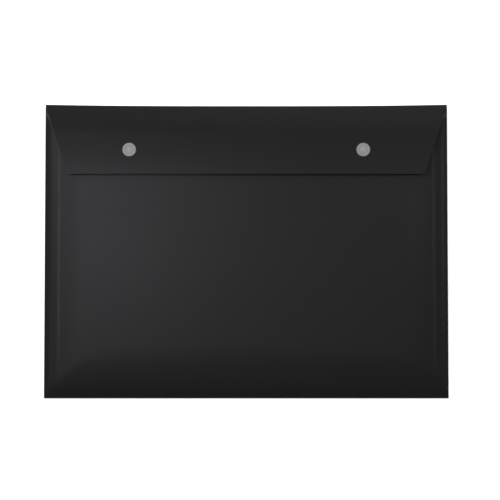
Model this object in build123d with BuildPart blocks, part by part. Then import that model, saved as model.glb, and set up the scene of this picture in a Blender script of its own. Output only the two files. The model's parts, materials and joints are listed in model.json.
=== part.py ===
from build123d import *
from math import atan2, cos, degrees, hypot, sin, sqrt, tan
import os

# Document wallet: a folded plastic sheet with a raised front, a tapered flap and two press studs.
# It lies on its back: X runs across it, Y from the bottom fold to the top fold, Z up out of the front.

# Sheet and overall size
WALLET_WIDTH = 335.0
WALLET_HEIGHT = 244.5
SHEET = 0.6

# Front panel: from its folded edges rounded bands take a share of the climb, then shallow domes the rest
FRONT_HEIGHT = 6.8
EDGE_RISE = 1.2
EDGE_INNER_RADIUS = 0.4
SIDE_BAND = 10.8
SIDE_BAND_SHARE = 0.7
SIDE_DOME = 28.0
BOTTOM_BAND = 14.0
BOTTOM_BAND_SHARE = 0.66
BOTTOM_DOME = 29.0
BOTTOM_CREST = 0.05
BOTTOM_FOLD_SHARE = 0.8

# Mouth, cut into the top of the front panel between two narrow ears
MOUTH_INSET = 18.0
MOUTH_CORNER = 5.0
EAR_WIDTH = 9.0

# Pressed crease between each side band and its dome
CREASE_RADIUS = 0.35
CREASE_PROUD = 0.15

# Side tabs, folded in under the side bands and welded to the back panel
TAB_WIDTH = 14.0
TAB_END_INSET = 8.0
TAB_END_TAPER = 10.0
TAB_CLEARANCE = 0.3

# Flap
FLAP_DEPTH = 59.0
FLAP_TAPER = 19.6
FLAP_CORNER = 1.5
FLAP_BEND_RADIUS = 26.0
FLAP_TIP_RADIUS = 80.0
FLAT_MARGIN = 8.0
FOLD_CLEARANCE = 0.05

# Press studs: place, and room between the flap and the front panel
STUD_SPACING = 194.0
STUD_DROP = 39.0
STUD_GAP = 2.4

# Cap on the outside of the flap, with its rivet post
CAP_DIAMETER = 11.8
CAP_EDGE = 0.35
CAP_RIM_DIAMETER = 9.4
CAP_RIM_HEIGHT = 1.05
CAP_GROOVE_DIAMETER = 7.0
CAP_GROOVE_HEIGHT = 0.85
CAP_CROWN = 1.2
CAP_POST_DIAMETER = 2.4
RIVET_HEAD_DIAMETER = 3.8
RIVET_HEAD = 0.3

# Socket on the inside of the flap
SOCKET_DIAMETER = 10.0
SOCKET_FLANGE = 0.5
SOCKET_BOSS_DIAMETER = 7.6
SOCKET_WEB = 0.35
SOCKET_CAVITY_DIAMETER = 4.5
SOCKET_LIP_DIAMETER = 3.9
SOCKET_LIP = 0.15
SOCKET_LEAD_IN = 0.15

# Stud on the outside of the front panel
STUD_FLANGE_DIAMETER = 10.0
STUD_FLANGE = 0.5
STUD_NECK_DIAMETER = 3.4
STUD_HEAD_DIAMETER = 4.1
STUD_TIP_DIAMETER = 3.0
STUD_CORE_ROOF = 0.45

# Disc and rivet post on the inside of the front panel
POST_DISC_DIAMETER = 10.0
POST_DISC = 0.7
POST_DIAMETER = 2.2

# Clearances inside the press studs
POST_CLEARANCE = 0.1
SEAT_CLEARANCE = 0.1
HEAD_CLEARANCE = 0.15

# Places worked out from the sizes
half_width = WALLET_WIDTH / 2
half_height = WALLET_HEIGHT / 2
fold_y = half_height - SHEET
fold_z = SHEET
mouth_y = half_height - MOUTH_INSET
stud_y = half_height - STUD_DROP
flap_level = FRONT_HEIGHT + STUD_GAP
flap_tip_y = half_height - FLAP_DEPTH
bend_end_y = stud_y + CAP_DIAMETER / 2 + FLAT_MARGIN
flat_end_y = stud_y - CAP_DIAMETER / 2 - FLAT_MARGIN

# The front panel's edges stand up from the back panel and turn over; the side tabs lie just inside them.
# The section along the wallet rises a hair past the level middle, which trims it.
edge_z = SHEET + EDGE_RISE
edge_radius = SHEET + EDGE_INNER_RADIUS
tab_edge = half_width - edge_radius - TAB_CLEARANCE
crest_z = FRONT_HEIGHT + BOTTOM_CREST
side_band_height = edge_z + SIDE_BAND_SHARE * (FRONT_HEIGHT - edge_z)
bottom_band_height = edge_z + BOTTOM_BAND_SHARE * (FRONT_HEIGHT - edge_z)

# The flap's root runs straight from the fold and meets the bend's arc at a tangent
bend_centre_z = flap_level - FLAP_BEND_RADIUS
fold_across = fold_y - bend_end_y
fold_down = fold_z - bend_centre_z
root_length = sqrt(hypot(fold_across, fold_down) ** 2 - FLAP_BEND_RADIUS**2)
root_angle = atan2(fold_across, fold_down) - atan2(root_length, FLAP_BEND_RADIUS)
bend_start = (
    bend_end_y + FLAP_BEND_RADIUS * sin(root_angle),
    bend_centre_z + FLAP_BEND_RADIUS * cos(root_angle),
)

# The top of the front panel follows the flap's root and bend from inside, a stud gap below them
brow_radius = FLAP_BEND_RADIUS - STUD_GAP
brow_end = (
    bend_end_y + brow_radius * sin(root_angle),
    bend_centre_z + brow_radius * cos(root_angle),
)
ear_foot_y = brow_end[0] + (brow_end[1] - SHEET) / tan(root_angle)

# The flap's tip bends down on an arc that runs a little past the cut edge
tip_arc = 1.2 * (flat_end_y - flap_tip_y) / FLAP_TIP_RADIUS

# Levels inside a closed press stud, measured up from the front panel's outer face
socket_foot = STUD_FLANGE + SEAT_CLEARANCE
lip_top = socket_foot + SOCKET_LEAD_IN + SOCKET_LIP
web_foot = STUD_GAP - SOCKET_WEB
rivet_foot = web_foot - RIVET_HEAD
head_top = rivet_foot - HEAD_CLEARANCE
head_middle = (lip_top + head_top) / 2
core_top = head_top - STUD_CORE_ROOF
flap_top = STUD_GAP + SHEET

STUD_SIDES = {"left": -STUD_SPACING / 2, "right": STUD_SPACING / 2}

os.makedirs("parts", exist_ok=True)


def pillow(inset, crease_radius=0.0):
    """Solid under the front panel's outer face, or under its inner face when inset by the sheet."""
    crease_z = side_band_height + CREASE_PROUD - crease_radius
    with BuildPart() as body:
        with BuildSketch(Plane.XZ) as across:
            with BuildLine():
                dome = TangentArc(
                    (half_width - SIDE_BAND - SIDE_DOME, FRONT_HEIGHT),
                    (half_width - SIDE_BAND, side_band_height),
                    tangent=(1, 0),
                )
                band = TangentArc(dome @ 1, (half_width, edge_z), tangent=dome % 1)
                Polyline(band @ 1, (half_width, -FRONT_HEIGHT), (0, -FRONT_HEIGHT))
                Line(dome @ 0, (0, FRONT_HEIGHT))
                mirror(about=Plane.YZ)
            make_face()
            columns = across.vertices().group_by(Axis.X)
            upper_ends = [column.sort_by(Axis.Y)[-1] for column in (columns[0], columns[-1])]
            fillet(upper_ends, radius=edge_radius)
            if inset:
                offset(amount=-inset, kind=Kind.INTERSECTION)
            if crease_radius:
                with Locations((half_width - SIDE_BAND, crease_z), (SIDE_BAND - half_width, crease_z)):
                    Circle(crease_radius)
        extrude(amount=half_height, both=True)
        with BuildSketch(Plane.YZ) as along:
            with BuildLine():
                dome = TangentArc(
                    (BOTTOM_BAND + BOTTOM_DOME - half_height, crest_z),
                    (BOTTOM_BAND - half_height, bottom_band_height),
                    tangent=(-1, 0),
                )
                band = TangentArc(dome @ 1, (-half_height, edge_z), tangent=dome % 1)
                level = Line(dome @ 0, (bend_end_y, crest_z))
                brow = TangentArc(level @ 1, brow_end, tangent=(1, 0))
                Polyline(
                    brow @ 1,
                    (ear_foot_y, SHEET),
                    (ear_foot_y, -FRONT_HEIGHT),
                    (-half_height, -FRONT_HEIGHT),
                    band @ 1,
                )
            make_face()
            fillet(along.vertices().group_by(Axis.X)[0].sort_by(Axis.Y)[-1], edge_radius)
            if inset:
                offset(amount=-inset, kind=Kind.INTERSECTION)
        extrude(amount=half_width, both=True, mode=Mode.INTERSECT)
    return body.part


# Back panel: the flat sheet, with the round fold edge that the flap turns about along its top
with BuildPart() as back_panel:
    with BuildSketch(Plane.YZ):
        with Locations((-half_height, 0)):
            Rectangle(half_height + fold_y, SHEET, align=Align.MIN)
        with Locations((fold_y, fold_z)):
            Circle(SHEET)
    extrude(amount=half_width, both=True)
    bottom_edge = back_panel.edges().filter_by(Axis.X).group_by(Axis.Y)[0].sort_by(Axis.Z)[0]
    fillet(bottom_edge, radius=BOTTOM_FOLD_SHARE * SHEET)

# Front panel: the sheet between the two pillow solids, open towards the back and at the mouth
with BuildPart() as front_panel:
    add(pillow(0, CREASE_RADIUS))
    add(pillow(SHEET), mode=Mode.SUBTRACT)
    split(bisect_by=Plane.XY.offset(SHEET), keep=Keep.TOP)
    with BuildSketch() as mouth:
        with Locations((0, mouth_y)):
            Rectangle(WALLET_WIDTH - 2 * EAR_WIDTH, MOUTH_INSET, align=(Align.CENTER, Align.MIN))
        fillet(mouth.vertices().group_by(Axis.Y)[0], radius=MOUTH_CORNER)
    extrude(amount=FRONT_HEIGHT, mode=Mode.SUBTRACT)
    with Locations(*[(x, stud_y, FRONT_HEIGHT) for x in STUD_SIDES.values()]):
        Hole(POST_DIAMETER / 2 + POST_CLEARANCE, depth=2 * SHEET)

# Flap: root strip, bend, level middle and a tip that leans down to the front panel
with BuildPart() as flap:
    with BuildSketch(Plane.YZ):
        with BuildLine():
            root = Line((fold_y, fold_z), bend_start)
            bend = TangentArc(root @ 1, (bend_end_y, flap_level), tangent=root % 1)
            level = Line(bend @ 1, (flat_end_y, flap_level))
            JernArc(level @ 1, tangent=(-1, 0), radius=FLAP_TIP_RADIUS, arc_size=degrees(tip_arc))
            offset(amount=SHEET, side=Side.RIGHT)
        make_face()
        with Locations((fold_y, fold_z)):
            Circle(SHEET + FOLD_CLEARANCE, mode=Mode.SUBTRACT)
    extrude(amount=half_width, both=True)
    with BuildSketch() as flap_outline:
        Polygon(
            (-half_width, half_height),
            (half_width, half_height),
            (half_width - FLAP_TAPER, flap_tip_y),
            (FLAP_TAPER - half_width, flap_tip_y),
            align=None,
        )
        fillet(flap_outline.vertices().group_by(Axis.Y)[0], radius=FLAP_CORNER)
    extrude(amount=flap_level + 2 * SHEET, mode=Mode.INTERSECT)
    with Locations(*[(x, stud_y, flap_level + SHEET) for x in STUD_SIDES.values()]):
        Hole(CAP_POST_DIAMETER / 2 + POST_CLEARANCE, depth=2 * SHEET)

# Side tabs: strips with tapered ends, welded flat to the back panel inside the pocket
with BuildPart() as right_side_tab:
    with BuildSketch(Plane.XY.offset(SHEET)):
        tab_foot = TAB_END_INSET - half_height
        tab_head = mouth_y - TAB_END_INSET
        Polygon(
            (tab_edge, tab_foot),
            (tab_edge, tab_head),
            (tab_edge - TAB_WIDTH, tab_head - TAB_END_TAPER),
            (tab_edge - TAB_WIDTH, tab_foot + TAB_END_TAPER),
            align=None,
        )
    extrude(amount=SHEET)

with BuildPart() as left_side_tab:
    mirror(right_side_tab.part, about=Plane.YZ)

panels = {
    "back_panel": back_panel,
    "front_panel": front_panel,
    "left_side_tab": left_side_tab,
    "right_side_tab": right_side_tab,
    "flap": flap,
}
for name, panel in panels.items():
    panel.part.label = name
    export_step(panel.part, f"parts/{name}.step")

# Press studs: four turned mouldings on one axis, drawn as half sections of radius and height
for side, stud_x in STUD_SIDES.items():
    section = Plane(origin=(stud_x, stud_y, FRONT_HEIGHT), x_dir=(1, 0, 0), z_dir=(0, -1, 0))
    stud_axis = Axis((stud_x, stud_y, 0), (0, 0, 1))

    # Cap: the crowned button with a ring groove, and the post whose end is riveted over the socket's web
    with BuildPart() as cap:
        with BuildSketch(section):
            with BuildLine():
                shank = Polyline(
                    (0, rivet_foot),
                    (RIVET_HEAD_DIAMETER / 2, rivet_foot),
                    (RIVET_HEAD_DIAMETER / 2, web_foot),
                    (CAP_POST_DIAMETER / 2, web_foot),
                    (CAP_POST_DIAMETER / 2, flap_top),
                    (CAP_DIAMETER / 2, flap_top),
                    (CAP_DIAMETER / 2, flap_top + CAP_EDGE),
                )
                crown = Spline(
                    shank @ 1,
                    (CAP_RIM_DIAMETER / 2, flap_top + CAP_RIM_HEIGHT),
                    (CAP_GROOVE_DIAMETER / 2, flap_top + CAP_GROOVE_HEIGHT),
                    (0, flap_top + CAP_CROWN),
                    tangents=((0, 1), (-1, 0)),
                )
                Line(crown @ 1, shank @ 0)
            make_face()
        revolve(axis=stud_axis)

    # Socket: a flanged ring whose lip closes below the stud's head
    with BuildPart() as socket:
        with BuildSketch(section):
            with BuildLine():
                Polyline(
                    (CAP_POST_DIAMETER / 2 + POST_CLEARANCE, STUD_GAP),
                    (SOCKET_DIAMETER / 2, STUD_GAP),
                    (SOCKET_DIAMETER / 2, STUD_GAP - SOCKET_FLANGE),
                    (SOCKET_BOSS_DIAMETER / 2, STUD_GAP - SOCKET_FLANGE),
                    (SOCKET_BOSS_DIAMETER / 2, socket_foot),
                    (SOCKET_CAVITY_DIAMETER / 2, socket_foot),
                    (SOCKET_LIP_DIAMETER / 2, socket_foot + SOCKET_LEAD_IN),
                    (SOCKET_LIP_DIAMETER / 2, lip_top),
                    (SOCKET_CAVITY_DIAMETER / 2, head_middle),
                    (SOCKET_CAVITY_DIAMETER / 2, web_foot),
                    (CAP_POST_DIAMETER / 2 + POST_CLEARANCE, web_foot),
                    close=True,
                )
            make_face()
        revolve(axis=stud_axis)

    # Stud: a flange with a necked ball head, hollow for the post
    with BuildPart() as stud:
        with BuildSketch(section):
            with BuildLine():
                neck = Polyline(
                    (0, core_top),
                    (POST_DIAMETER / 2 + POST_CLEARANCE, core_top),
                    (POST_DIAMETER / 2 + POST_CLEARANCE, 0),
                    (STUD_FLANGE_DIAMETER / 2, 0),
                    (STUD_FLANGE_DIAMETER / 2, STUD_FLANGE),
                    (STUD_NECK_DIAMETER / 2, STUD_FLANGE),
                    (STUD_NECK_DIAMETER / 2, lip_top),
                )
                head = ThreePointArc(
                    neck @ 1,
                    (STUD_HEAD_DIAMETER / 2, head_middle),
                    (STUD_TIP_DIAMETER / 2, head_top),
                )
                Polyline(head @ 1, (0, head_top), neck @ 0)
            make_face()
        revolve(axis=stud_axis)

    # Post: a disc inside the pocket whose pin passes through the front panel into the stud
    with BuildPart() as post:
        with BuildSketch(section):
            with BuildLine():
                Polyline(
                    (0, -SHEET - POST_DISC),
                    (POST_DISC_DIAMETER / 2, -SHEET - POST_DISC),
                    (POST_DISC_DIAMETER / 2, -SHEET),
                    (POST_DIAMETER / 2, -SHEET),
                    (POST_DIAMETER / 2, core_top - POST_CLEARANCE),
                    (0, core_top - POST_CLEARANCE),
                    close=True,
                )
            make_face()
        revolve(axis=stud_axis)

    mouldings = {"cap": cap, "socket": socket, "stud": stud, "post": post}
    for kind, moulding in mouldings.items():
        moulding.part.label = f"{side}_{kind}"
        export_step(moulding.part, f"parts/{side}_{kind}.step")
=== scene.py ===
# %% [markdown]
# # A document wallet
#
# The real wallet is one sheet of black plastic that is cut, creased and folded: a flat back, a front that is
# pressed up into a shallow pillow, and a tapered flap that closes over the mouth on two grey press studs.
# The frame already holds each of these as a solid of the right size, on its hinge. This lesson gives them
# their look: smooth pressed forms, soft folded edges, a satin grain, and turned studs.
#
# Lengths are in metres. X runs across the wallet, Y from its bottom fold to its top fold, and Z up.

# %% Load the frame
import json
import math

import bmesh
import bpy
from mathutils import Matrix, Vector


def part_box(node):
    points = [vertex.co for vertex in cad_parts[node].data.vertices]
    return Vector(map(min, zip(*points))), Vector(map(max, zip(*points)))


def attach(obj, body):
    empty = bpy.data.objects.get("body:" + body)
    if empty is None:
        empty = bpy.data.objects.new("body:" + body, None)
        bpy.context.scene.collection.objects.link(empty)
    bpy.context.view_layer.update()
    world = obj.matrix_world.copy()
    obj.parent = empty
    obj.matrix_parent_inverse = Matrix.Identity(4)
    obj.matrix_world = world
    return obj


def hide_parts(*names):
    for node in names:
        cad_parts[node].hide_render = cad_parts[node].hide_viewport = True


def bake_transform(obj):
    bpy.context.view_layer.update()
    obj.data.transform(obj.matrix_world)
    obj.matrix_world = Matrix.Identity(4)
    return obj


MM = 0.001

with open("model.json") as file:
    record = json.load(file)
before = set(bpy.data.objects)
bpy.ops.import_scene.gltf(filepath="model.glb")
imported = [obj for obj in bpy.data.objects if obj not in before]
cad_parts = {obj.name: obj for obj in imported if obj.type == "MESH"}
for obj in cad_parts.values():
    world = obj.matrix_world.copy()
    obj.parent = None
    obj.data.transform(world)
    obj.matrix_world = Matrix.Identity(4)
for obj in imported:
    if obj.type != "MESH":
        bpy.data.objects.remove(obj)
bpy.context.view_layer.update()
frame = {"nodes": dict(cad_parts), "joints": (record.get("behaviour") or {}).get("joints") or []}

# %% [markdown]
# Sizes that the frame holds are read from its boxes, so that the looks follow it when it is rebuilt.
# The hinge says where the top fold is, and a cap says where the studs are.

# %% Read the main sizes
back_low, back_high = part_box("back_panel")
flap_low, flap_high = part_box("flap")
tab_low, tab_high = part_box("right_side_tab")
cap_low, cap_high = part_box("right_cap")

half_width = back_high.x
half_height = -back_low.y
sheet = tab_high.z - tab_low.z
front_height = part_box("front_panel")[1].z
flap_top = flap_high.z
flap_tip = flap_low.y
cap_radius = (cap_high.x - cap_low.x) / 2
stud_x = (cap_low.x + cap_high.x) / 2
stud_y = (cap_low.y + cap_high.y) / 2
fold_y, fold_z = frame["joints"][0]["pos_m"][1:]
print(f"wallet {2 * half_width / MM:.1f} x {2 * half_height / MM:.1f} mm, sheet {sheet / MM:.2f} mm")

# %% [markdown]
# ## Camera
#
# The photograph looks straight down on the front from about one and a half metres, leaning three degrees
# towards the bottom fold, which is why the wallet is one percent wider there. A camera can be aimed by a
# constraint, but a plain place and turn stay put, so they are worked out here from the lean.

# %% Camera at the photograph's angle
CAMERA_DISTANCE = 1.5
CAMERA_LEAN = math.radians(3.1)
SENSOR_WIDTH = 36.0  # in millimetres, as lenses are counted
FRAME_WIDTH = 414.8 * MM
AIM = Vector((3.09, 0.53, 4.0)) * MM


def add_object(name, data):
    """A new object in the scene, at the origin."""
    added = bpy.data.objects.new(name, data)
    bpy.context.scene.collection.objects.link(added)
    return added


camera = add_object("camera", bpy.data.cameras.new("camera"))
camera.data.sensor_width = SENSOR_WIDTH
camera.data.lens = SENSOR_WIDTH * CAMERA_DISTANCE / FRAME_WIDTH
camera.location = AIM + CAMERA_DISTANCE * Vector((0, -math.sin(CAMERA_LEAN), math.cos(CAMERA_LEAN)))
camera.rotation_euler = (CAMERA_LEAN, 0, 0)
bpy.context.scene.camera = camera
bpy.context.scene.view_settings.view_transform = "Standard"
print(f"lens {camera.data.lens:.1f} mm")

# %% [markdown]
# ## Arithmetic on sockets
#
# Geometry and shader trees work by wiring nodes, which soon turns a short formula into a page of links.
# One small class wraps a socket so that the formula can be written as Python arithmetic: each operator adds
# its Math node, and every other node comes from one method.


# %% A socket that takes part in arithmetic
class Wire:
    """An output socket of a node tree; without a socket, it stands for the tree itself."""

    def __init__(self, tree, socket=None):
        self.tree = tree
        self.socket = socket

    def node(self, kind, settings=None, inputs=None, output=0):
        """Add a node, make its settings, then fill its sockets with values or links."""
        made = self.tree.nodes.new(kind)
        for name, value in (settings or {}).items():
            setattr(made, name, value)
        for key, value in (inputs or {}).items():
            if isinstance(value, Wire):
                self.tree.links.new(value.socket, made.inputs[key])
            else:
                made.inputs[key].default_value = value
        return Wire(self.tree, made.outputs[output]) if made.outputs else None

    def out(self, name):
        """Another output of the node that this wire comes from."""
        return Wire(self.tree, self.socket.node.outputs[name])

    def math(self, operation, *others):
        """A Math node on this value and others."""
        return self.node("ShaderNodeMath", {"operation": operation}, dict(enumerate((self, *others))))

    def within(self, low, high):
        """This value, held between two limits."""
        return self.math("MAXIMUM", low).math("MINIMUM", high)

    def __add__(self, other):
        return self.math("ADD", other)

    def __sub__(self, other):
        return self.math("SUBTRACT", other)

    def __rsub__(self, other):
        return self.node("ShaderNodeMath", {"operation": "SUBTRACT"}, {0: other, 1: self})

    def __mul__(self, other):
        return self.math("MULTIPLY", other)

    def __truediv__(self, other):
        return self.math("DIVIDE", other)

    def __rtruediv__(self, other):
        return self.node("ShaderNodeMath", {"operation": "DIVIDE"}, {0: other, 1: self})

    __radd__ = __add__
    __rmul__ = __mul__


def mixed(share, first, second):
    """A colour between two others, by the share of the second."""
    return share.node("ShaderNodeMix", {"data_type": "RGBA"}, {0: share, 6: first, 7: second}, output=2)


print("arithmetic on sockets is ready")

# %% [markdown]
# ## Finish of the sheet
#
# The sheet is dyed right through, a soft black with a fine sand grain from the rollers, so it shines as a
# broad satin glow and not as a mirror. Where it is creased or cut, the plastic is stretched and turns a
# little paler. The folds store how far they are stretched in an attribute, and the material reads it.

# %% Satin black sheet
SHEET_BLACK = (0.0140, 0.0140, 0.0142, 1)
CREASE_GREY = (0.018, 0.018, 0.0183, 1)
SHEET_ROUGHNESS = 0.30
ROUGHNESS_SPREAD = 0.04
CREASE_POLISH = 0.03
SHEET_SHINE = 0.107
SHINE_TINT = (0.92, 0.92, 1.0, 1)
GRAIN_SIZE = 0.45 * MM
GRAIN_DEPTH = 0.012 * MM
GRAIN_STRENGTH = 0.5
HANDLING_SIZE = 60 * MM


def new_finish(name):
    """A new material with a wire to start from and a function that fills its shader's sockets."""
    material = bpy.data.materials.new(name)
    material.use_nodes = True
    shader = material.node_tree.nodes["Principled BSDF"]

    def fill(socket, value):
        """Link a wire to a socket of the shader, or give the socket a value."""
        if isinstance(value, Wire):
            material.node_tree.links.new(value.socket, shader.inputs[socket])
        else:
            shader.inputs[socket].default_value = value

    return material, Wire(material.node_tree), fill


def speckle(place, size, detail):
    """Noise of a size over a place."""
    return place.node("ShaderNodeTexNoise", inputs={"Vector": place, "Scale": 1 / size, "Detail": detail})


def relief(grain, depth, strength):
    """A bump that follows a grain."""
    sizes = {"Strength": strength, "Distance": depth, "Height": grain}
    return grain.node("ShaderNodeBump", inputs=sizes)


def satin_sheet():
    """Black sheet plastic with a sand grain, faint handling marks and paler creases."""
    material, start, fill = new_finish("satin_black_sheet")
    place = start.node("ShaderNodeTexCoord", output="Object")
    grain = speckle(place, GRAIN_SIZE, 2.0)
    marks = speckle(place, HANDLING_SIZE, 4.0)
    crease = start.node("ShaderNodeAttribute", {"attribute_name": "crease"}, output="Fac")
    spread = (marks - 0.5) * ROUGHNESS_SPREAD + (grain - 0.5) * ROUGHNESS_SPREAD
    fill("Base Color", mixed(crease, SHEET_BLACK, CREASE_GREY))
    fill("Roughness", SHEET_ROUGHNESS + spread - crease * CREASE_POLISH)
    fill("Normal", relief(grain, GRAIN_DEPTH, GRAIN_STRENGTH))
    fill("Specular IOR Level", SHEET_SHINE)
    fill("Specular Tint", SHINE_TINT)
    return material


sheet_finish = satin_sheet()
print("finish:", sheet_finish.name)

# %% [markdown]
# ## From a flat blank to a formed piece
#
# The factory cuts a flat blank and then presses it, and the lesson does the same. A blank is a flat grid
# with close rows where it will bend, and a Geometry Nodes tree presses it by a rule with named sizes. The
# result is turned into a plain mesh at once, because the frame's poses want meshes.

# %% Cut a blank
WELD = 0.005 * MM


def stations(*spans):
    """Places along a line, from spans of (start, end, number of steps) that follow each other."""
    places = [spans[0][0]]
    for start, end, steps in spans:
        places += [start + (end - start) * step / steps for step in range(1, steps + 1)]
    return places


def add_patch(mesh, columns, rows, place):
    """Add a grid of faces whose points are place(column, row)."""
    grid = [[mesh.verts.new(place(column, row)) for column in columns] for row in rows]
    for low, high in zip(grid, grid[1:]):
        for left in range(len(columns) - 1):
            mesh.faces.new((low[left], low[left + 1], high[left + 1], high[left]))


def cut(name, mesh):
    """Join the patches of a blank and hand it over as a mesh."""
    bmesh.ops.remove_doubles(mesh, verts=mesh.verts, dist=WELD)
    blank = bpy.data.meshes.new(name)
    mesh.to_mesh(blank)
    mesh.free()
    return blank


print("blanks are ready to cut")

# %% [markdown]
# The sizes of a tree are sockets with plain names, so that the press can be set without opening it. A
# modifier knows these sockets only by their identifiers, which are looked up by name here. Every tree ends
# in real geometry with its finish on, with no instances left.


# %% Press a blank with a tree
def open_tree(name, sizes):
    """A new tree with a geometry socket and one named input for each size."""
    tree = bpy.data.node_groups.new(name, "GeometryNodeTree")
    tree.interface.new_socket("Geometry", in_out="INPUT", socket_type="NodeSocketGeometry")
    tree.interface.new_socket("Geometry", in_out="OUTPUT", socket_type="NodeSocketGeometry")
    for size in sizes:
        tree.interface.new_socket(size, in_out="INPUT", socket_type="NodeSocketFloat")
    entry = tree.nodes.new("NodeGroupInput")
    return {socket.name: Wire(tree, socket) for socket in entry.outputs if socket.name}


def close_tree(shape, material):
    """End a tree in real, smooth geometry with its finish."""
    real = shape.node("GeometryNodeRealizeInstances", inputs={"Geometry": shape})
    smooth = real.node("GeometryNodeSetShadeSmooth", inputs={"Geometry": real})
    dressed = smooth.node("GeometryNodeSetMaterial", inputs={"Geometry": smooth, "Material": material})
    dressed.node("NodeGroupOutput", inputs={"Geometry": dressed})
    return dressed.tree


def as_mesh(piece):
    """The piece as its modifiers leave it, as a plain object of the same name."""
    mesh = bpy.data.meshes.new_from_object(piece.evaluated_get(bpy.context.evaluated_depsgraph_get()))
    name = piece.name
    bpy.data.objects.remove(piece)
    return add_object(name, mesh)


def form(name, blank, tree, sizes):
    """Press a blank with a tree and return the formed piece."""
    piece = add_object(name, blank)
    modifier = piece.modifiers.new("form", "NODES")
    modifier.node_group = tree
    for item in tree.interface.items_tree:
        if item.name in sizes:
            modifier[item.identifier] = sizes[item.name]
    return as_mesh(piece)


print("trees are ready to press")

# %% [markdown]
# A tree shapes only the outer face of the sheet. Solidify then gives it the sheet's thickness inwards, and a
# small Bevel breaks the cut edges. It is widest on the flap, whose edge is handled most.

# %% Sheet thickness and cut edges
CUT_EDGE = 0.12 * MM
FLAP_EDGE = 0.22 * MM
SHARP_ANGLE = math.radians(50)


def soften(piece, width):
    """Break the sharp edges of a piece."""
    edge = piece.modifiers.new("edge", "BEVEL")
    edge.width = width
    edge.segments = 2
    edge.limit_method = "ANGLE"
    edge.angle_limit = SHARP_ANGLE
    edge.use_clamp_overlap = True
    edge.harden_normals = True
    return as_mesh(piece)


def thicken(piece, edge):
    """Give an outer face the sheet's thickness and soften its cut edges."""
    wall = piece.modifiers.new("sheet", "SOLIDIFY")
    wall.thickness = sheet
    wall.offset = -1
    wall.use_even_offset = False
    return soften(piece, edge)


def dress(piece, slot, *nodes):
    """Hide the nodes that a piece stands for and print them with its face count; slot is not used."""
    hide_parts(*nodes)
    print(f"{piece.name}: {len(piece.data.polygons)} faces for {', '.join(nodes)}")


print("cut edges", CUT_EDGE / MM, "mm")

# %% [markdown]
# ## Front panel
#
# The front panel is pressed up from its folded edges: a rounded band climbs to a scored crease, and a
# shallow dome goes on to the level middle. Along the bottom it does the same, and along the top it bows
# down under the flap. Each stretch is an arc, so its height is a short formula of the distance from the
# edge. The lower of the two formulas, across and along, gives the mitred corners of an envelope.

# %% Arcs of the pressed section
SIDE_BAND = 10.8 * MM
SIDE_BAND_SHARE = 0.7
SIDE_DOME = 28.0 * MM
BOTTOM_BAND = 14.0 * MM
BOTTOM_BAND_SHARE = 0.66
BOTTOM_DOME = 29.0 * MM
EDGE_HEIGHT = 1.8 * MM
EDGE_RADIUS = 1.0 * MM
UNDER_RADIUS = 0.65 * MM


def pressed_section(side, band, share, dome, foot):
    """Named sizes of a section: the dome's circle, the band's circle tangent to it, the edge's turn."""
    band_height = EDGE_HEIGHT + share * (front_height - EDGE_HEIGHT)
    rise = front_height - band_height
    dome_radius = (dome**2 + rise**2) / (2 * rise)
    dome_centre = Vector((band + dome, front_height - dome_radius))
    crease = Vector((band, band_height))
    to_centre = (dome_centre - crease).normalized()
    chord = crease - Vector((0, EDGE_HEIGHT))
    band_radius = -chord.length_squared / (2 * chord.dot(to_centre))
    band_centre = crease + band_radius * to_centre
    lean = math.asin((band_centre.x - EDGE_RADIUS) / (band_radius - EDGE_RADIUS))
    wall_top = band_centre.y + (band_radius - EDGE_RADIUS) * math.cos(lean)
    sizes = {
        "band": band,
        "band height": band_height,
        "dome radius": dome_radius,
        "dome centre": dome_centre.x,
        "dome centre height": dome_centre.y,
        "band radius": band_radius,
        "band centre": band_centre.x,
        "band centre height": band_centre.y,
        "turn": EDGE_RADIUS * (1 - math.sin(lean)),
        "lean": lean,
        "upright": wall_top - foot,
    }
    return {f"{side} {name}": value for name, value in sizes.items()}


side_section = pressed_section("Side", SIDE_BAND, SIDE_BAND_SHARE, SIDE_DOME, sheet)
bottom_section = pressed_section("Bottom", BOTTOM_BAND, BOTTOM_BAND_SHARE, BOTTOM_DOME, UNDER_RADIUS)
print(f"edges lean {math.degrees(side_section['Side lean']):.0f} degrees at the sides")

# %% [markdown]
# The flap lies over the top of the front panel on a bend, and the front panel follows that bend from below.
# On the photograph the flap darkens towards the fold well before the bend, so it isn't quite level at the
# studs: after the bend it keeps a small lean, which eases out towards the tip on a very long arc.

# %% The bend that the flap and the front panel share
FLAP_BEND_RADIUS = 26.0 * MM
FLAT_MARGIN = 8.0 * MM
EASE_LEAN = math.radians(4.4)
EASE_RADIUS = 600 * MM
FOLD_CLEARANCE = 0.024 * MM

nose_radius = sheet + FOLD_CLEARANCE
bend_end = stud_y + cap_radius + FLAT_MARGIN
stud_gap = flap_top - sheet - front_height
stud_lean = math.asin(math.sin(EASE_LEAN) - (bend_end - stud_y) / EASE_RADIUS)
tip_lean = math.asin(math.sin(EASE_LEAN) - (bend_end - flap_tip) / EASE_RADIUS)
ease_start = flap_top - EASE_RADIUS * (math.cos(stud_lean) - math.cos(EASE_LEAN))
bend_radius = FLAP_BEND_RADIUS + sheet
bend_normal = Vector((math.sin(EASE_LEAN), math.cos(EASE_LEAN)))
bend_centre = Vector((bend_end, ease_start)) - bend_radius * bend_normal
from_fold = Vector((fold_y, fold_z)) - bend_centre
root_length = math.sqrt(from_fold.length_squared - (bend_radius - nose_radius) ** 2)
root_angle = math.atan2(from_fold.x, from_fold.y) - math.atan2(root_length, bend_radius - nose_radius)
brow_radius = FLAP_BEND_RADIUS - stud_gap
brow_end = bend_end + brow_radius * math.sin(root_angle)
print(f"flap root {root_length / MM:.1f} mm long at {math.degrees(root_angle):.1f} degrees")

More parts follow.
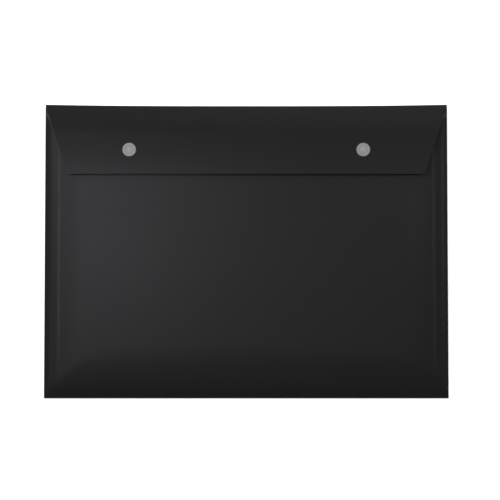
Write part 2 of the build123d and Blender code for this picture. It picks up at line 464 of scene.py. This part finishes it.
# %% [markdown]
# The blank of the front panel reaches past its folds by the length that turns down and under, and its two
# bottom corners are cut away where both would turn, a row short of the corner, so that neither turned edge
# ends in the face of the other. The mouth is cut out between two narrow ears, with rounded corners so that
# the plastic doesn't tear. The ears run on to the top fold, where they lie flat on the back.

# %% Rows and columns of the front panel's blank
MOUTH_INSET = 18.0 * MM
MOUTH_CORNER = 5.0 * MM
EAR_WIDTH = 9.0 * MM
EAR_GAP = 2.2 * MM
CORNER_STEPS = 24
CORNER_ROWS = 6

mouth_y = half_height - MOUTH_INSET
ear_end = fold_y - EAR_GAP
corner_in = EAR_WIDTH + MOUTH_CORNER
dome_end = SIDE_BAND + SIDE_DOME


def edge_rows(section, side, under, steps):
    """Rows of the blank past the band: the upright with what turns under it, and the edge's round."""
    turn = section[f"{side} turn"]
    round_length = EDGE_RADIUS * (math.pi / 2 - section[f"{side} lean"])
    reach = round_length + section[f"{side} upright"] + under
    return stations((turn - reach, turn - round_length, steps)), stations((turn - round_length, turn, 6))


side_wall, side_round = edge_rows(side_section, "Side", 0, 2)
bottom_wall, bottom_round = edge_rows(bottom_section, "Bottom", UNDER_RADIUS * math.pi / 2, 8)
corner_angles = stations((0, math.pi / 2, CORNER_STEPS))
corner_columns = [corner_in - MOUTH_CORNER * math.cos(angle) for angle in corner_angles]
band_columns = side_round + stations((side_section["Side turn"], EAR_WIDTH, 9))[1:]
dome_columns = stations((corner_in, dome_end, 12), (dome_end, half_width, 24))
half_columns = band_columns + corner_columns[1:] + dome_columns[1:]
mouth_row = half_height + mouth_y
body_rows = bottom_round + stations(
    (bottom_section["Bottom turn"], BOTTOM_BAND, 10),
    (BOTTOM_BAND, BOTTOM_BAND + BOTTOM_DOME, 12),
    (BOTTOM_BAND + BOTTOM_DOME, half_height + bend_end, 34),
    (half_height + bend_end, mouth_row, 12),
)[1:]
ear_rows = stations(
    (mouth_row, mouth_row + MOUTH_CORNER, CORNER_ROWS),
    (mouth_row + MOUTH_CORNER, half_height + ear_end, 14),
)
print("front panel blank:", len(half_columns) * 2, "columns,", len(body_rows), "rows")

# %% [markdown]
# The blank is laid out in patches that share their border points, and cutting welds them. The right half
# mirrors the left, so its columns run the other way round, and all faces still look up.


# %% Cut the front panel's blank
def front_blank():
    """The flat front panel, one half after the other: body, turned edges, ear, and the mouth's corner."""
    mesh = bmesh.new()
    for side in (-1, 1):

        def on_blank(inward, row, side=side):
            """A point by its distances in from the side and up from the bottom."""
            return side * (half_width - inward), row - half_height, 0

        def on_corner(angle, share):
            """A point between the mouth's line and its rounded corner."""
            inward = corner_in - MOUTH_CORNER * math.cos(angle)
            return on_blank(inward, mouth_row + share * MOUTH_CORNER * (1 - math.sin(angle)))

        order = slice(None, None, -side)
        add_patch(mesh, half_columns[order], body_rows, on_blank)
        add_patch(mesh, half_columns[1:][order], bottom_wall, on_blank)
        add_patch(mesh, side_wall[order], body_rows[1:] + ear_rows[1:], on_blank)
        add_patch(mesh, band_columns[order], ear_rows, on_blank)
        add_patch(mesh, corner_angles[order], stations((0, 1, CORNER_ROWS)), on_corner)
    return cut("front_panel_blank", mesh)


front_flat = front_blank()
print("front panel blank:", len(front_flat.polygons), "faces")

# %% [markdown]
# The press has more to it than the arcs. The crease is a low ridge that fades out near the bottom. The bottom
# dome draws in towards the corners, where the folds hold the sheet, and a slow seeded wave keeps the large
# face from being too flat for plastic.

# %% Sizes of the press
CREASE_PLACE = 11.3 * MM
CREASE_WIDTH = 2.2 * MM
CREASE_RISE = 0.16 * MM
CREASE_FADE = 30 * MM
EDGE_PALENESS = 0.4
EAR_HEIGHT = 2.03 * sheet
EAR_SOFTNESS = 1.5 * MM
MITRE_SOFTNESS = 1.6 * MM
CORNER_DRAW = 0.4
WAVE_HEIGHT = 0.25 * MM
WAVE_SIZE = 110 * MM
WAVE_SEED = 3.0
WAVE_CALM = 2.5

press_sizes = {
    **side_section,
    **bottom_section,
    "Half width": half_width,
    "Half height": half_height,
    "Front height": front_height,
    "Edge radius": EDGE_RADIUS,
    "Under radius": UNDER_RADIUS,
    "Brow start": bend_end,
    "Brow end": brow_end,
    "Brow radius": brow_radius,
    "Brow centre height": front_height - brow_radius,
    "Brow slope": math.tan(root_angle),
    "Ear height": EAR_HEIGHT,
    "Ear softness": EAR_SOFTNESS,
    "Crease place": CREASE_PLACE,
    "Crease width": CREASE_WIDTH,
    "Crease rise": CREASE_RISE,
    "Crease fade": CREASE_FADE,
    "Edge paleness": EDGE_PALENESS,
    "Mitre softness": MITRE_SOFTNESS,
    "Corner draw": CORNER_DRAW,
    "Wave height": WAVE_HEIGHT,
    "Wave size": WAVE_SIZE,
    "Wave seed": WAVE_SEED,
    "Wave calm": WAVE_CALM,
}
print("press sizes:", len(press_sizes))

# %% [markdown]
# Pressing moves each point of the blank to where its distance from the edge puts it on the section. Distances
# are held within the ends of each arc, so the arcs simply add up, with no branches in the tree.


# %% A section as arithmetic
def arc_height(along, radius, centre, centre_height):
    """Height of a circle above a line, at a place along it."""
    off = along - centre
    return centre_height + (radius * radius - off * off).math("SQRT")


def low_ridge(along, place, width):
    """A smooth ridge of height 1 across a line, nothing beyond its width."""
    share = (along - place) / width
    rise = (1 - share * share).math("MAXIMUM", 0.0)
    return rise * rise


def on_section(inward, given, side, draw=1.0):
    """Where a section puts a point: distance in from the edge, height, and length past the turn."""
    size = {key.split(" ", 1)[1]: wire for key, wire in given.items() if key.startswith(side)}
    on_band = inward.within(size["turn"], size["band"])
    on_dome = (size["band"] + (inward - size["band"]) * draw).within(size["band"], size["dome centre"])
    band = arc_height(on_band, size["band radius"], size["band centre"], size["band centre height"])
    dome = arc_height(on_dome, size["dome radius"], size["dome centre"], size["dome centre height"])
    past = (size["turn"] - inward).math("MAXIMUM", 0.0)
    edge = given["Edge radius"]
    angle = (size["lean"] + past / edge).math("MINIMUM", math.pi / 2)
    down = (past - (math.pi / 2 - size["lean"]) * edge).math("MAXIMUM", 0.0)
    under = (down - size["upright"]).math("MAXIMUM", 0.0) / given["Under radius"]
    out = (angle.math("SINE") - size["lean"].math("SINE")) * edge
    drop = (size["lean"].math("COSINE") - angle.math("COSINE")) * edge
    place = inward.math("MAXIMUM", size["turn"]) - out + (1 - under.math("COSINE")) * given["Under radius"]
    height = band + dome - size["band height"] - drop - down.math("MINIMUM", size["upright"])
    return place, height - under.math("SINE") * given["Under radius"], past


print("sections are ready to press")

# %% [markdown]
# The press takes the lower of the heights across and along at each point, with a soft mitre where they meet,
# and stores where the sheet is creased. Only one face is pressed, and thickened afterwards, because two faces
# pressed by the same heights would leave the sheet thin where it is steep.


# %% Build the press
def press_tree():
    """Tree that presses the flat front panel into its pillow."""
    given = open_tree("Press the front panel", press_sizes)
    position = given["Geometry"].node("GeometryNodeInputPosition")
    x = position.node("ShaderNodeSeparateXYZ", inputs={"Vector": position})
    y = x.out("Y")
    across = given["Half width"] - x.math("ABSOLUTE")
    along = y + given["Half height"]

    across_place, side_height, side_past = on_section(across, given, "Side")
    outward = x / given["Half width"]
    draw = 1 + outward * outward * given["Corner draw"]
    along_place, end_height, end_past = on_section(along, given, "Bottom", draw)
    on_brow = y.within(given["Brow start"], given["Brow end"])
    brow = arc_height(on_brow, given["Brow radius"], given["Brow start"], given["Brow centre height"])
    beyond = (y - given["Brow end"]).math("MAXIMUM", 0.0)
    fall = given["Front height"] - brow + beyond * given["Brow slope"]
    lowest = given["Front height"] - given["Ear height"]
    end_height = end_height - fall.math("SMOOTH_MIN", lowest, given["Ear softness"])

    fade = ((along - given["Bottom band"]) / given["Crease fade"]).within(0.0, 1.0)
    ridge = low_ridge(across, given["Crease place"], given["Crease width"]) * fade
    side_height = side_height + ridge * given["Crease rise"]

    depth = given["Front height"] - side_height.math("MINIMUM", end_height)
    on_face = (1 - (side_past + end_past) / given["Edge radius"]).math("MAXIMUM", 0.0)
    softness = given["Mitre softness"] * on_face * (depth / given["Mitre softness"]).within(0.0, 1.0)
    height = side_height.math("SMOOTH_MIN", end_height, softness)

    wave = position.node(
        "ShaderNodeTexNoise",
        {"noise_dimensions": "4D"},
        {"Vector": position, "W": given["Wave seed"], "Scale": 1 / given["Wave size"], "Detail": 0.0},
    )
    calm = (1 - depth / given["Front height"] * given["Wave calm"]).within(0.0, 1.0)
    height = height + (wave - 0.5) * given["Wave height"] * calm

    place = position.node(
        "ShaderNodeCombineXYZ",
        inputs={
            "X": x.math("SIGN") * (given["Half width"] - across_place),
            "Y": along_place - given["Half height"],
            "Z": height,
        },
    )
    pressed = place.node("GeometryNodeSetPosition", inputs={"Geometry": given["Geometry"], "Position": place})
    paleness = (ridge + (1 - on_face) * given["Edge paleness"]).within(0.0, 1.0)
    marked = pressed.node(
        "GeometryNodeStoreNamedAttribute",
        {"data_type": "FLOAT", "domain": "POINT"},
        {"Geometry": pressed, "Name": "crease", "Value": paleness},
    )
    return close_tree(marked, sheet_finish)


front_sheet = thicken(form("front_sheet", front_flat, press_tree(), press_sizes), CUT_EDGE)
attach(front_sheet, "wallet")
dress(front_sheet, "sheet", "front_panel")

# %% [markdown]
# ## Back panel
#
# The back is the plain flat sheet, from the bottom fold to the top fold. On the photograph the top fold is
# drawn in a little between its corners, as a long fold in a stiff sheet is, so the sheet ends on that bow.

# %% Lay the back panel
FOLD_BOW = 1.2 * MM
BOW_POWER = 3.0


def fold_bow(share):
    """How far the top fold is drawn in, at a share of the half width."""
    return FOLD_BOW * (1 - abs(share) ** BOW_POWER)


def back_skin():
    """Outer face of the back panel, which looks down."""
    mesh = bmesh.new()
    foot = UNDER_RADIUS - half_height
    add_patch(
        mesh,
        stations((half_width, -half_width, 60)),
        stations((0, 1, 40)),
        lambda x, share: (x, foot + share * (fold_y - fold_bow(x / half_width) - foot), 0),
    )
    skin = cut("back_panel_skin", mesh)
    skin.materials.append(sheet_finish)
    return skin


back_sheet = thicken(add_object("back_sheet", back_skin()), CUT_EDGE)
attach(back_sheet, "wallet")
dress(back_sheet, "sheet", "back_panel")

# %% [markdown]
# ## Side tabs
#
# Two strips inside the pocket hold the front to the back. Their solids are already flat cut strips, so they
# stay as they are and only take the sheet's finish.

# %% Finish the side tabs
for name in ("left_side_tab", "right_side_tab"):
    for slot in frame["nodes"][name].material_slots:
        slot.material = sheet_finish
    print(name, "wears", sheet_finish.name)

# %% [markdown]
# ## Flap
#
# The flap is the same sheet carried on round the top fold: a tight nose, a straight root, a wide bend, and
# the nearly level stretch that the studs sit on. Its blank is a strip, and the tree folds it by adding up
# the stretches along its length, much as a sheet runs through a folding machine.

# %% Lengths along the flap
FLAP_TAPER = 19.6 * MM
FLAP_CORNER = 1.5 * MM
CORNER_LENGTH = 1.5 * FLAP_CORNER
CORNER_SHARE = 0.97
FLAP_STEPS = (12, 8, 14, 14, 9)

nose_length = nose_radius * (math.pi - root_angle)
bend_length = bend_radius * (root_angle - EASE_LEAN)
ease_length = EASE_RADIUS * (EASE_LEAN - tip_lean)

fold_sizes = {
    "Fold place": fold_y,
    "Fold height": fold_z,
    "Nose radius": nose_radius,
    "Nose length": nose_length,
    "Root angle": root_angle,
    "Root length": root_length,
    "Bend radius": bend_radius,
    "Bend length": bend_length,
    "Ease lean": EASE_LEAN,
    "Ease radius": EASE_RADIUS,
    "Ease length": ease_length,
    "Half width": half_width,
    "Taper": FLAP_TAPER / (half_height - flap_tip),
    "Top": half_height,
    "Tip": flap_tip,
    "Corner": FLAP_CORNER,
    "Bow": FOLD_BOW,
}
print(f"flap blank {(nose_length + root_length + bend_length + ease_length) / MM:.1f} mm long")

# %% [markdown]
# The strip has close rows and columns towards its free corners, which are rounded. Each stretch takes its
# part of the length and hands on the rest, so the order of the stretches is the order of the formulas. The
# bow of the top fold fades out along the root.


# %% Fold the flap
def flap_blank():
    """Flat strip: X is the share of the half width, Y the length along the outer face."""
    mesh = bmesh.new()
    ends = [0]
    for length in (nose_length, root_length, bend_length, ease_length - CORNER_LENGTH, CORNER_LENGTH):
        ends.append(ends[-1] + length)
    rows = stations(*zip(ends, ends[1:], FLAP_STEPS))
    inner = (-CORNER_SHARE, CORNER_SHARE, 80)
    columns = stations((-1, inner[0], 10), inner, (inner[1], 1, 10))
    add_patch(mesh, columns, rows[::-1], lambda share, length: (share, length, 0))
    return cut("flap_blank", mesh)


def fold_tree():
    """Tree that folds the strip into the flap's bent, tapered form."""
    given = open_tree("Fold the flap", fold_sizes)
    position = given["Geometry"].node("GeometryNodeInputPosition")
    share = position.node("ShaderNodeSeparateXYZ", inputs={"Vector": position})
    length = share.out("Y")

    def stretch(size):
        """The part of the length that lies on a stretch; the rest goes on to the next one."""
        nonlocal length
        part = length.within(0.0, given[size])
        length = length - given[size]
        return part

    nose = stretch("Nose length") / given["Nose radius"] - math.pi / 2
    y = given["Fold place"] + nose.math("COSINE") * given["Nose radius"]
    z = given["Fold height"] + nose.math("SINE") * given["Nose radius"]
    root = stretch("Root length")
    y = y - root * given["Root angle"].math("COSINE")
    z = z + root * given["Root angle"].math("SINE")
    for arc, lean in (("Bend", given["Root angle"]), ("Ease", given["Ease lean"])):
        radius = given[f"{arc} radius"]
        left = lean - stretch(f"{arc} length") / radius
        y = y - (lean.math("SINE") - left.math("SINE")) * radius
        z = z + (left.math("COSINE") - lean.math("COSINE")) * radius

    near_tip = (given["Corner"] - (y - given["Tip"])).within(0.0, given["Corner"])
    corner = given["Corner"] - (given["Corner"] * given["Corner"] - near_tip * near_tip).math("SQRT")
    width = given["Half width"] - (given["Top"] - y).math("MAXIMUM", 0.0) * given["Taper"] - corner
    calm = 1 - root / given["Root length"]
    outward = share.math("ABSOLUTE").math("POWER", BOW_POWER)
    y = y - given["Bow"] * (1 - outward) * calm * calm
    place = position.node("ShaderNodeCombineXYZ", inputs={"X": share * width, "Y": y, "Z": z})
    folded = place.node("GeometryNodeSetPosition", inputs={"Geometry": given["Geometry"], "Position": place})
    return close_tree(folded, sheet_finish)


flap_sheet = thicken(form("flap_sheet", flap_blank(), fold_tree(), fold_sizes), FLAP_EDGE)
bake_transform(flap_sheet)
dress(flap_sheet, "sheet", "flap")

# %% [markdown]
# ## Press studs
#
# Each press stud is four small turned mouldings on one axis: a cap and a socket riveted through the flap,
# and a stud and a post through the front panel. Their grey plastic is milky and finely matt from the mould.
# The cap's colour carries painted shade: a little darker in its ring groove, and much darker on the outer
# roll of its rim. A small pale spot in the middle is partly where the plastic ran into the mould, and partly
# a painted highlight on the top of the crown.

# %% Milky grey moulding
STUD_GREY = (0.20, 0.20, 0.205, 1)
STUD_PALE = (0.34, 0.34, 0.345, 1)
# The dark grey that paints shade into the caps' ring groove and onto their rim.
STUD_PAINTED_SHADE = (0.05, 0.05, 0.052, 1)
GATE_RADIUS = 1.1 * MM
RING_PLACE = 3.4 * MM
RING_WIDTH = 1.3 * MM
# Where the painted shade on the rim's outer roll begins and ends.
RIM_SHADE_START = 5.2 * MM
RIM_SHADE_END = 5.8 * MM
# How pale the spot in the middle is: partly the mould's gate mark, partly a painted highlight.
GATE_MARK_AND_HIGHLIGHT = 0.3
# How far painted shade darkens the ring groove and the rim.
RING_PAINTED_SHADE = 0.22
RIM_PAINTED_SHADE = 0.9
STUD_ROUGHNESS = 0.55
CLOUD_SIZE = 1.25 * MM
CLOUD_SPREAD = 0.15
MOULD_GRAIN = 0.3 * MM
MOULD_DEPTH = 0.01 * MM
MOULD_STRENGTH = 0.4


def milky_moulding():
    """Grey milky plastic, finely matt, with painted shade at groove and rim and a painted central highlight.
    """
    material, start, fill = new_finish("milky_grey_moulding")
    place = start.node("ShaderNodeTexCoord", output="Object")
    cloud = speckle(place, CLOUD_SIZE, 3.0)
    grain = speckle(place, MOULD_GRAIN, 1.0)
    radius = start.node("ShaderNodeAttribute", {"attribute_name": "radius"}, output="Fac")
    # The pale spot in the middle is partly the mould's gate mark and partly a painted highlight on the crown.
    pale = (cloud + low_ridge(radius, 0.0, GATE_RADIUS) * GATE_MARK_AND_HIGHLIGHT).within(0.0, 1.0)
    # Painted shade: the ring groove and the rim's outer roll are mixed towards the dark grey.
    rim = ((radius - RIM_SHADE_START) / (RIM_SHADE_END - RIM_SHADE_START)).within(0.0, 1.0)
    painted_shade = low_ridge(radius, RING_PLACE, RING_WIDTH) * RING_PAINTED_SHADE + rim * RIM_PAINTED_SHADE
    fill("Base Color", mixed(painted_shade, mixed(pale, STUD_GREY, STUD_PALE), STUD_PAINTED_SHADE))
    fill("Roughness", STUD_ROUGHNESS + (cloud - 0.5) * CLOUD_SPREAD)
    fill("Normal", relief(grain, MOULD_DEPTH, MOULD_STRENGTH))
    return material


stud_finish = milky_moulding()
print("finish:", stud_finish.name)

# %% [markdown]
# A lathe turns one outline round an axis. Here the outline is stretched into an unrolled strip of radius,
# angle and height, and the tree rolls the strip up, closes its seam, and sets it at both stud places. The
# mouldings on the flap lean with it.

# %% Roll an outline up
TURN_STEPS = 64
SEAM_GAP = 0.002 * MM
TINY_EDGE = 0.001 * MM

turn_sizes = {"Stud spacing": 2 * stud_x, "Stud line": stud_y, "Front height": front_height, "Lean": 0.0}


def turn_tree():
    """Tree that rolls up a strip of radius, angle and height and repeats it at both studs."""
    given = open_tree("Turn a moulding", turn_sizes)
    strip = given["Geometry"].node("GeometryNodeInputPosition")
    radius = strip.node("ShaderNodeSeparateXYZ", inputs={"Vector": strip})
    angle = radius.out("Y")
    round_place = strip.node(
        "ShaderNodeCombineXYZ",
        inputs={"X": radius * angle.math("COSINE"), "Y": radius * angle.math("SINE"), "Z": radius.out("Z")},
    )
    marked = strip.node(
        "GeometryNodeStoreNamedAttribute",
        {"data_type": "FLOAT", "domain": "POINT"},
        {"Geometry": given["Geometry"], "Name": "radius", "Value": radius},
    )
    rolled = strip.node("GeometryNodeSetPosition", inputs={"Geometry": marked, "Position": round_place})
    closed = strip.node("GeometryNodeMergeByDistance", inputs={"Geometry": rolled, "Distance": SEAM_GAP})
    first = strip.node(
        "ShaderNodeCombineXYZ",
        inputs={"X": given["Stud spacing"] * -0.5, "Y": given["Stud line"], "Z": given["Front height"]},
    )
    step = strip.node("ShaderNodeCombineXYZ", inputs={"X": given["Stud spacing"]})
    places = strip.node("GeometryNodeMeshLine", inputs={"Count": 2, "Start Location": first, "Offset": step})
    lean = strip.node("ShaderNodeCombineXYZ", inputs={"X": given["Lean"] * -1})
    pair = strip.node(
        "GeometryNodeInstanceOnPoints", inputs={"Points": places, "Instance": closed, "Rotation": lean}
    )
    return close_tree(pair, stud_finish)


moulding_tree = turn_tree()
print("tree:", moulding_tree.name)

# %% [markdown]
# Where an outline starts or ends on the axis, the strip's edge rolls up into one point, and the faces beside
# it lose a side. They are cleaned up after the tree, and all faces are turned outwards.


# %% Turn a pair of mouldings
def turned_pair(name, outline, edge, lean=0.0):
    """Two turned mouldings of an outline of (radius, height) points, with softened edges and a lean."""
    mesh = bmesh.new()
    angles = stations((0, 2 * math.pi, TURN_STEPS))
    add_patch(mesh, angles, outline, lambda angle, point: (point[0], angle, point[1]))
    strip = bpy.data.meshes.new(name + "_strip")
    mesh.to_mesh(strip)
    mesh.free()
    pair = form(name, strip, moulding_tree, {**turn_sizes, "Lean": lean})
    closed = bmesh.new()
    closed.from_mesh(pair.data)
    bmesh.ops.dissolve_degenerate(closed, edges=closed.edges, dist=TINY_EDGE)
    bmesh.ops.recalc_face_normals(closed, faces=closed.faces)
    closed.to_mesh(pair.data)
    closed.free()
    return soften(pair, edge)


print("two of each at", round(stud_x / MM, 1), "mm from the middle")

# %% [markdown]
# The cap is the part that shows: a low crowned button with a shallow ring groove inside its rim. The round
# stretches are a quarter of an ellipse and two cosine swells, which meet at level tangents.

# %% Caps
CAP_EDGE = 0.35 * MM
CAP_RIM_RADIUS = 4.7 * MM
CAP_RIM_HEIGHT = 1.05 * MM
CAP_GROOVE_RADIUS = 3.5 * MM
CAP_GROOVE_HEIGHT = 0.85 * MM
CAP_CROWN = 1.2 * MM
CAP_POST_RADIUS = 1.2 * MM
RIVET_RADIUS = 1.9 * MM
RIVET_HEIGHT = 0.3 * MM
SOCKET_WEB = 0.35 * MM
MOULD_EDGE = 0.08 * MM

cap_seat = stud_gap + sheet
web_foot = stud_gap - SOCKET_WEB
rivet_foot = web_foot - RIVET_HEIGHT


def quarter(start, end, steps):
    """Points of a quarter ellipse from one (radius, height) point, upright, to another, level."""
    return [
        (end[0] + (start[0] - end[0]) * math.cos(angle), start[1] + (end[1] - start[1]) * math.sin(angle))
        for angle in stations((0, math.pi / 2, steps))
    ]


def swell(start, end, steps):
    """Points of a cosine swell between two (radius, height) points, level at both ends."""
    return [
        (
            start[0] + (end[0] - start[0]) * share,
            start[1] + (end[1] - start[1]) * (1 - math.cos(math.pi * share)) / 2,
        )
        for share in stations((0, 1, steps))
    ]


rim = (CAP_RIM_RADIUS, cap_seat + CAP_RIM_HEIGHT)
groove = (CAP_GROOVE_RADIUS, cap_seat + CAP_GROOVE_HEIGHT)
cap_outline = [
    (0, rivet_foot),
    (RIVET_RADIUS, rivet_foot),
    (RIVET_RADIUS, web_foot),
    (CAP_POST_RADIUS, web_foot),
    (CAP_POST_RADIUS, cap_seat),
    (cap_radius, cap_seat),
    *quarter((cap_radius, cap_seat + CAP_EDGE), rim, 8),
    *swell(rim, groove, 6)[1:],
    *swell(groove, (0, cap_seat + CAP_CROWN), 14)[1:],
]
caps = turned_pair("caps", cap_outline, MOULD_EDGE, stud_lean)
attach(caps, "flap")
dress(caps, "stud", "left_cap", "right_cap")

# %% [markdown]
# The other three mouldings show when the flap is open: the socket's ring under the flap, and the ball-headed
# stud on the front. The post's disc lies inside the pocket.

# %% Sizes of sockets, studs and posts
SOCKET_RADIUS = 5.0 * MM
SOCKET_FLANGE = 0.5 * MM
SOCKET_BOSS = 3.8 * MM
SOCKET_CAVITY = 2.25 * MM
SOCKET_LIP_RADIUS = 1.95 * MM
SOCKET_LIP = 0.15 * MM
POST_RADIUS = 1.1 * MM
POST_CLEARANCE = 0.1 * MM
POST_DISC_RADIUS = 5.0 * MM
POST_DISC = 0.7 * MM
STUD_RADIUS = 5.0 * MM
STUD_FLANGE = 0.5 * MM
STUD_NECK = 1.7 * MM
STUD_HEAD = 2.05 * MM
STUD_TIP = 1.5 * MM
STUD_ROOF = 0.45 * MM
SEAT_CLEARANCE = 0.1 * MM
HEAD_CLEARANCE = 0.15 * MM

socket_foot = STUD_FLANGE + SEAT_CLEARANCE
lip_foot = socket_foot + SOCKET_LIP
lip_top = lip_foot + SOCKET_LIP
head_top = rivet_foot - HEAD_CLEARANCE
head_middle = (lip_top + head_top) / 2
core_top = head_top - STUD_ROOF
core_radius = POST_RADIUS + POST_CLEARANCE
bore_radius = CAP_POST_RADIUS + POST_CLEARANCE
print(f"stud heads {(head_top - lip_top) / MM:.2f} mm high above the socket's lip")

# %% [markdown]
# Each outline runs once round the section of its moulding. The socket's outline closes on itself, because it
# is a ring, and the others start and end on the axis.

# %% Sockets, studs and posts
socket_outline = [
    (bore_radius, stud_gap),
    (bore_radius, web_foot),
    (SOCKET_CAVITY, web_foot),
    (SOCKET_CAVITY, head_middle),
    (SOCKET_LIP_RADIUS, lip_top),
    (SOCKET_LIP_RADIUS, lip_foot),
    (SOCKET_CAVITY, socket_foot),
    (SOCKET_BOSS, socket_foot),
    (SOCKET_BOSS, stud_gap - SOCKET_FLANGE),
    (SOCKET_RADIUS, stud_gap - SOCKET_FLANGE),
    (SOCKET_RADIUS, stud_gap),
    (bore_radius, stud_gap),
]
stud_outline = [
    (0, core_top),
    (core_radius, core_top),
    (core_radius, 0),
    (STUD_RADIUS, 0),
    (STUD_RADIUS, STUD_FLANGE),
    (STUD_NECK, STUD_FLANGE),
    *quarter((STUD_HEAD, head_middle), (STUD_NECK, lip_top), 5)[::-1],
    *quarter((STUD_HEAD, head_middle), (STUD_TIP, head_top), 5)[1:],
    (0, head_top),
]
post_outline = [
    (0, -sheet - POST_DISC),
    (POST_DISC_RADIUS, -sheet - POST_DISC),
    (POST_DISC_RADIUS, -sheet),
    (POST_RADIUS, -sheet),
    (POST_RADIUS, core_top - POST_CLEARANCE),
    (0, core_top - POST_CLEARANCE),
]
for kind, outline, body, lean in (
    ("socket", socket_outline, "flap", stud_lean),
    ("stud", stud_outline, "wallet", 0.0),
    ("post", post_outline, "wallet", 0.0),
):
    pair = turned_pair(kind + "s", outline, MOULD_EDGE / 2, lean)
    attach(pair, body)
    dress(pair, "stud", f"left_{kind}", f"right_{kind}")

# %% [markdown]
# ## Floor, background and light
#
# The photograph has a white background with no edge. The floor is a pale plane that also glows a little for
# the camera, so it reaches white but keeps the wallet's soft shadow. Far off, where the lamps don't reach,
# it glows more.

# %% Floor
FLOOR_SIZE = 8.0
FLOOR_GAP = 0.3 * MM
FLOOR_PALE = (0.85, 0.85, 0.85, 1)
FLOOR_ROUGHNESS = 0.9
FLOOR_GLOW = 0.6
NO_GLOW = (0, 0, 0, 1)
NEAR_GLOW = (1, 1, 1, 1)
FAR_GLOW = (1.7, 1.7, 1.7, 1)
LAMPLIT = 0.5
UNLIT = 1.6


def ways_seen(start):
    """Whether a ray comes straight from the camera, and whether it was mirrored or went through something."""
    straight = start.node("ShaderNodeLightPath", output="Is Camera Ray")
    return straight, straight.out("Is Glossy Ray") + straight.out("Is Transmission Ray")


def pale_floor():
    """Pale matt floor that glows where it is seen, and more so far from the lamps."""
    material, start, fill = new_finish("pale_floor")
    straight, mirrored = ways_seen(start)
    seen = (straight + mirrored).math("MINIMUM", 1.0)
    place = start.node("ShaderNodeTexCoord", output="Object")
    reach = place.node("ShaderNodeVectorMath", {"operation": "LENGTH"}, {0: place}, output="Value")
    far = ((reach - LAMPLIT) / (UNLIT - LAMPLIT)).within(0.0, 1.0)
    fill("Base Color", FLOOR_PALE)
    fill("Roughness", FLOOR_ROUGHNESS)
    fill("Specular IOR Level", 0.0)
    fill("Emission Strength", FLOOR_GLOW)
    fill("Emission Color", mixed(seen, NO_GLOW, mixed(far, NEAR_GLOW, FAR_GLOW)))
    return material


floor_mesh = bmesh.new()
floor_ends = (-FLOOR_SIZE / 2, FLOOR_SIZE / 2)
add_patch(floor_mesh, floor_ends, floor_ends, lambda x, y: (x, y, back_low.z - FLOOR_GAP))
floor = add_object("floor", cut("floor", floor_mesh))
floor.data.materials.append(pale_floor())
print("floor at", round(floor.data.vertices[0].co.z / MM, 2), "mm")

# %% [markdown]
# The world is white where the camera sees it, and low down where an edge mirrors it. Where it only lights, it
# is dim, so the black stays black.

# %% World
WORLD_LEVEL = 0.1
HORIZON = 0.3

world = bpy.data.worlds.new("studio")
world.use_nodes = True
bpy.context.scene.world = world
straight, mirrored = ways_seen(Wire(world.node_tree))
direction = straight.node("ShaderNodeTexCoord", output="Generated")
height = direction.node("ShaderNodeSeparateXYZ", inputs={"Vector": direction}).out("Z")
low_down = (1 - height / HORIZON).within(0.0, 1.0)
level = WORLD_LEVEL + (1 - WORLD_LEVEL) * (straight + mirrored * low_down).within(0.0, 1.0)
background = world.node_tree.nodes["Background"]
background.inputs["Color"].default_value = (1, 1, 1, 1)
world.node_tree.links.new(level.socket, background.inputs["Strength"])
print("world level", WORLD_LEVEL)

# %% [markdown]
# A black satin sheet shows little but what it mirrors. So each lamp is placed by its angles from straight up,
# across and along the wallet: the parts of the sheet that lean half as far mirror it to the camera. The key
# stands just left of the camera and gives the soft glow on the left of the front, and the others tell the
# folds from the front. The left fill is wide, because the bent ear on that side mirrors it.

# %% Lamps
LAMP_DISTANCE = 2.0
LAMP_SIZE = 0.28
WIDE_LAMPS = {"left_fill": 1.0}
LAMPS = {
    "key": (-10, 5.4, 4.25),
    "key_middle": (1, 3, 0.6),
    "key_low": (-16, -11, 0.9),
    "key_right": (15, 8, 1.4),
    "left_edge": (-24, 7, 1.95),
    "left_low": (-42, -4, 0.7),
    "left_fill": (-36, 29, 20.8),
    "right_band": (33, 9, 0.35),
    "right_edge": (50, 9, 1.8),
    "right_fill": (36, 35, 6.6),
    "bend": (6, 35, 0.5),
    "top_left": (-14, 56, 0.5),
    "top_middle": (3, 58, 1.0),
    "top_right": (20, 56, 1.2),
}
for name, (across_angle, along_angle, power) in LAMPS.items():
    light = bpy.data.lights.new(name, "AREA")
    light.shape = "DISK"
    light.size = WIDE_LAMPS.get(name, LAMP_SIZE)
    light.energy = power
    lamp = add_object(name, light)
    slopes = [math.tan(math.radians(angle)) for angle in (across_angle, along_angle)]
    toward = Vector((*slopes, 1)).normalized()
    lamp.location = LAMP_DISTANCE * toward
    lamp.rotation_euler = toward.to_track_quat("Z", "Y").to_euler()
    print(f"{name}: {power} W at {across_angle}, {along_angle} degrees")
